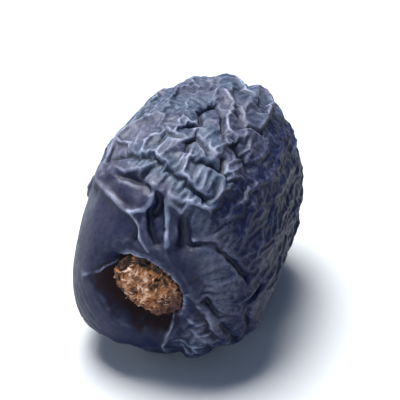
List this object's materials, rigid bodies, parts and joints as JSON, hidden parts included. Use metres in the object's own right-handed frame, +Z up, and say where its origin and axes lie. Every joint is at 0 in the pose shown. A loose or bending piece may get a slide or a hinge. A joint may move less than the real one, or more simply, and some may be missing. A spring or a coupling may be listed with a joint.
{
  "type": "ajwa date",
  "caption": "Whole dried ajwa date lying on its side: dark, wrinkled, blunt oval fruit with a taut shoulder and a sunken stem scar that holds a dry fibrous plug.",
  "frame": {"origin": "middle of the bounding box on the surface that the date rests on", "axes": "+Y from the stem end to the tip, +Z up, +X to the right seen from the stem end"},
  "size_m": [0.0202, 0.0324, 0.0227],
  "materials": {
    "skin": "satin, wrinkled, dark slate blue-black with a grey bloom",
    "fibre": "matt, rough, dry tan and orange-brown fibres"
  },
  "bodies": {
    "root": {"fruit": "skin", "stem_plug": "fibre"}
  },
  "joints": []
}
